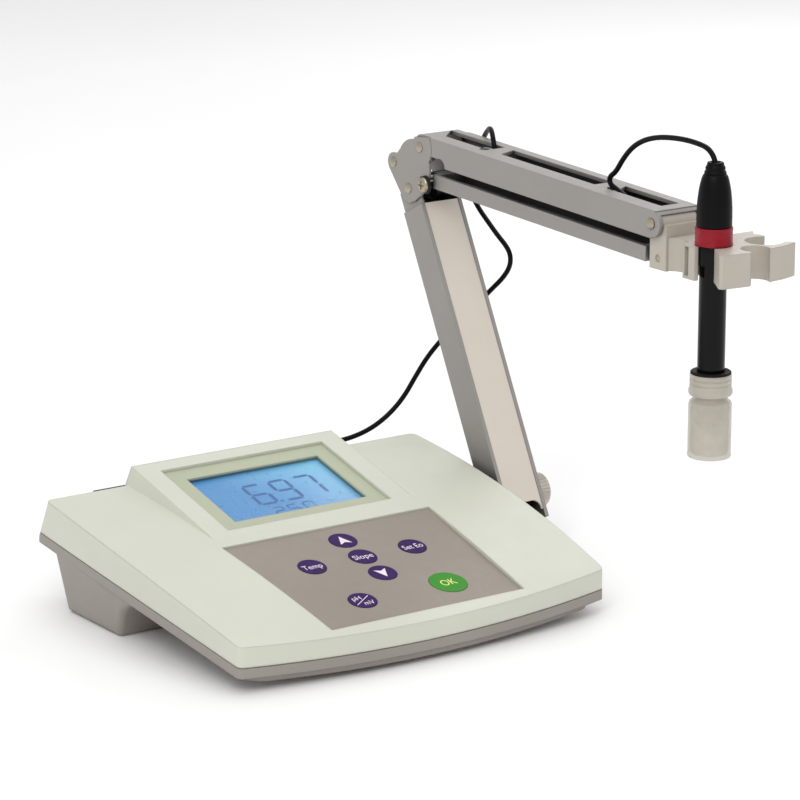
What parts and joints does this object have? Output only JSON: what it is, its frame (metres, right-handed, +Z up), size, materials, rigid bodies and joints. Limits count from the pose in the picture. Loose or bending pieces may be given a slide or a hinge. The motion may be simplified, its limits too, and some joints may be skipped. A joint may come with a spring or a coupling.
{
  "type": "bench pH meter",
  "caption": "Bench pH meter: wedge-shaped housing with display and round keys, and a balanced jointed arm holding an electrode with its storage bottle.",
  "frame": {"origin": "centre of the underside of the rear rubber foot, on the table", "axes": "+X to the user's right, +Y to the rear, +Z up; the display faces -Y and up"},
  "size_m": [0.3184, 0.3308, 0.272],
  "materials": {
    "cover_plastic": "fine matt grain",
    "base_plastic": "fine matt grain",
    "bezel_plastic": "satin",
    "lens": "gloss",
    "display": "gloss",
    "overlay": "satin",
    "key_purple": "satin",
    "key_green": "satin",
    "rubber_mat": "matt",
    "board": "satin",
    "steel": "satin",
    "rubber": "matt",
    "socket_metal": "gloss",
    "black_plastic": "satin",
    "bracket_steel": "satin",
    "arm_plastic": "fine matt grain",
    "cover_steel": "satin",
    "spring_steel": "gloss",
    "head_plastic": "satin",
    "ring_red": "satin",
    "glass": "gloss",
    "shaft_plastic": "gloss",
    "bottle_plastic": "satin",
    "cap_plastic": "satin",
    "knob_metal": "satin",
    "cable": "satin"
  },
  "bodies": {
    "meter": {"top_cover": "cover_plastic", "base_tray": "base_plastic", "display_bezel": "bezel_plastic", "display_lens": "lens", "lcd_module": "display", "keypad_overlay": "overlay", "key_mat": "rubber_mat", "keypad_board": "board", "main_board": "board", "board_screws": "steel", "case_screws": "steel", "rear_foot": "rubber", "front_feet": "rubber", "bnc_socket": "socket_metal", "reference_socket": "black_plastic", "temperature_socket": "black_plastic", "power_socket": "black_plastic", "switch_frame": "black_plastic", "arm_bracket": "bracket_steel", "bracket_screws": "steel", "arm_foot": "bracket_steel", "heel_pin": "steel", "foot_bolt": "steel", "lead_tail": "cable", "lead_plug": "black_plastic"},
    "key_up_body": {"key_up": "key_purple"},
    "key_slope_body": {"key_slope": "key_purple"},
    "key_down_body": {"key_down": "key_purple"},
    "key_temperature_body": {"key_temperature": "key_purple"},
    "key_set_body": {"key_set": "key_purple"},
    "key_mode_body": {"key_mode": "key_purple"},
    "key_ok_body": {"key_ok": "key_green"},
    "rocker": {"switch_rocker": "black_plastic"},
    "knob": {"thumb_knob": "knob_metal"},
    "lower_arm": {"lower_arm_channel": "arm_plastic", "lower_arm_cover": "cover_steel", "balance_springs": "spring_steel", "lead_drop": "cable"},
    "lower_rod": {"lower_link": "arm_plastic"},
    "elbow": {"elbow_plate_left": "arm_plastic", "elbow_plate_right": "arm_plastic", "elbow_pins": "steel", "friction_washers": "rubber", "friction_screw": "steel", "lead_crossing": "cable"},
    "upper_arm_body": {"upper_arm": "arm_plastic", "tension_spring": "spring_steel", "lead_arch": "cable"},
    "upper_rod": {"link_bar": "arm_plastic"},
    "head": {"head_fork": "head_plastic", "head_pins": "steel", "electrode_clip": "head_plastic"},
    "electrode": {"electrode_shaft": "shaft_plastic", "glass_bulb": "glass", "colour_ring": "ring_red", "electrode_boot": "black_plastic", "strain_relief": "black_plastic"},
    "bottle": {"bottle_grommet": "rubber", "bottle_cap": "cap_plastic", "storage_bottle": "bottle_plastic"}
  },
  "joints": [
    {"name": "lower_arm_tilt", "type": "hinge", "parent": "meter", "child": "lower_arm", "pos_m": [0.1515, -0.01534, 0.0329], "axis": [1, 0, 0], "range_deg": [-20, 15], "deforming": ["lead_tail", "lead_drop", "balance_springs"]},
    {"name": "lower_rod_tilt", "type": "hinge", "parent": "meter", "child": "lower_rod", "pos_m": [0.1515, 0.00016, 0.0464], "axis": [1, 0, 0], "range_deg": [-20, 15]},
    {"name": "elbow_level", "type": "hinge", "parent": "lower_arm", "child": "elbow", "pos_m": [0.1515, 0.06826, 0.20579], "axis": [1, 0, 0], "range_deg": [-15, 20], "deforming": ["lead_crossing"]},
    {"name": "upper_arm_tilt", "type": "hinge", "parent": "elbow", "child": "upper_arm_body", "pos_m": [0.1515, 0.05686, 0.23229], "axis": [1, 0, 0], "range_deg": [-30, 20], "deforming": ["lead_arch", "tension_spring"]},
    {"name": "upper_rod_tilt", "type": "hinge", "parent": "elbow", "child": "upper_rod", "pos_m": [0.1515, 0.05436, 0.21319], "axis": [1, 0, 0], "range_deg": [-30, 20]},
    {"name": "head_level", "type": "hinge", "parent": "upper_arm_body", "child": "head", "pos_m": [0.1515, -0.16148, 0.2239], "axis": [1, 0, 0], "range_deg": [-20, 30]},
    {"name": "knob_turn", "type": "hinge", "parent": "meter", "child": "knob", "pos_m": [0.1706, -0.01534, 0.0329], "axis": [1, 0, 0], "range_deg": [0, 180]},
    {"name": "power_rocker", "type": "hinge", "parent": "meter", "child": "rocker", "pos_m": [-0.078, 0.05595, 0.05], "axis": [1, 0, 0], "range_deg": [-6, 6]},
    {"name": "electrode_lift", "type": "slide", "parent": "head", "child": "electrode", "axis": [0, 0, 1], "range_m": [0, 0.012]},
    {"name": "bottle_pull", "type": "slide", "parent": "electrode", "child": "bottle", "axis": [0, 0, -1], "range_m": [0, 0.05]},
    {"name": "key_up_press", "type": "slide", "parent": "meter", "child": "key_up_body", "axis": [0, 0.2159, -0.9764], "range_m": [0, 0.0004], "stiffness_N_per_m": 1500, "springref_m": -0.0002},
    {"name": "key_slope_press", "type": "slide", "parent": "meter", "child": "key_slope_body", "axis": [0, 0.2159, -0.9764], "range_m": [0, 0.0004], "stiffness_N_per_m": 1500, "springref_m": -0.0002},
    {"name": "key_down_press", "type": "slide", "parent": "meter", "child": "key_down_body", "axis": [0, 0.2159, -0.9764], "range_m": [0, 0.0004], "stiffness_N_per_m": 1500, "springref_m": -0.0002},
    {"name": "key_temperature_press", "type": "slide", "parent": "meter", "child": "key_temperature_body", "axis": [0, 0.2159, -0.9764], "range_m": [0, 0.0004], "stiffness_N_per_m": 1500, "springref_m": -0.0002},
    {"name": "key_set_press", "type": "slide", "parent": "meter", "child": "key_set_body", "axis": [0, 0.2159, -0.9764], "range_m": [0, 0.0004], "stiffness_N_per_m": 1500, "springref_m": -0.0002},
    {"name": "key_mode_press", "type": "slide", "parent": "meter", "child": "key_mode_body", "axis": [0, 0.2159, -0.9764], "range_m": [0, 0.0004], "stiffness_N_per_m": 1500, "springref_m": -0.0002},
    {"name": "key_ok_press", "type": "slide", "parent": "meter", "child": "key_ok_body", "axis": [0, 0.2159, -0.9764], "range_m": [0, 0.0004], "stiffness_N_per_m": 1500, "springref_m": -0.0002}
  ],
  "couplings": [
    {"joint": "lower_rod_tilt", "follows": "lower_arm_tilt", "ratio": 1},
    {"joint": "elbow_level", "follows": "lower_arm_tilt", "ratio": -1},
    {"joint": "upper_rod_tilt", "follows": "upper_arm_tilt", "ratio": 1},
    {"joint": "head_level", "follows": "upper_arm_tilt", "ratio": -1}
  ]
}
